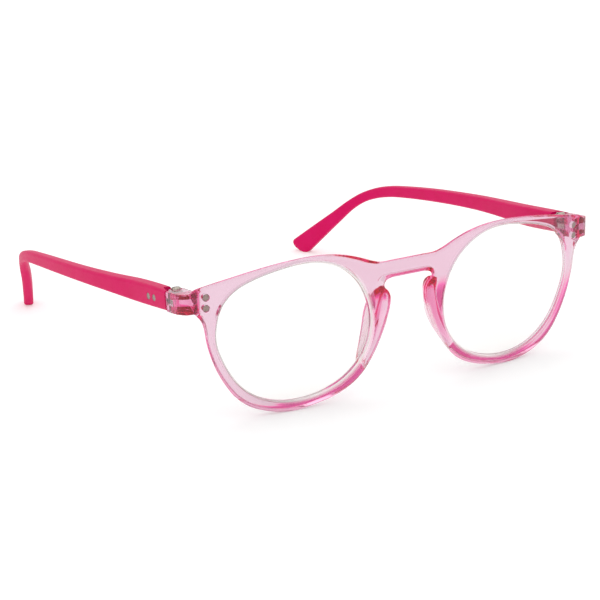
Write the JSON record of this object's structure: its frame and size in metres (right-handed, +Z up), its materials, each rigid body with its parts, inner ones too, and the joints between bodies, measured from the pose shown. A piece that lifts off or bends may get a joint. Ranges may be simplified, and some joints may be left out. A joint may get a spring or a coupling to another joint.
{
  "type": "blue light glasses",
  "caption": "Folding glasses with a clear pink keyhole front, clear filter lenses and solid raspberry temples on screwed hinges.",
  "frame": {"origin": "on the resting surface, under the middle of the opened glasses", "axes": "+X towards the wearer's left, +Y from the lenses towards the temple tips, +Z up"},
  "size_m": [0.146, 0.1564, 0.0458],
  "materials": {
    "clear_pink": "clear pink injection-moulded plastic, polished",
    "lens_clear": "clear lens with a faint warm filter tint",
    "raspberry": "solid raspberry plastic, satin",
    "hinge_metal": "plated steel, worn smooth",
    "pin_metal": "flat-faced silver pins, finely turned"
  },
  "bodies": {
    "front": {"front_frame": "clear_pink", "lens_left": "lens_clear", "hinge_screw_left": "hinge_metal", "front_pin_left_upper": "pin_metal", "front_pin_left_lower": "pin_metal", "lens_right": "lens_clear", "hinge_screw_right": "hinge_metal", "front_pin_right_upper": "pin_metal", "front_pin_right_lower": "pin_metal"},
    "temple_left": {"temple_left": "raspberry", "hinge_tongue_left": "hinge_metal", "temple_pin_left_front": "pin_metal", "temple_pin_left_rear": "pin_metal"},
    "temple_right": {"temple_right": "raspberry", "hinge_tongue_right": "hinge_metal", "temple_pin_right_front": "pin_metal", "temple_pin_right_rear": "pin_metal"}
  },
  "joints": [
    {"name": "fold_left", "type": "hinge", "parent": "front", "child": "temple_left", "pos_m": [0.06735, -0.06119, 0.03576], "axis": [0, 0.0889, 0.996], "range_deg": [0, 87]},
    {"name": "fold_right", "type": "hinge", "parent": "front", "child": "temple_right", "pos_m": [-0.06735, -0.06119, 0.03576], "axis": [0, -0.0889, -0.996], "range_deg": [0, 75]}
  ]
}
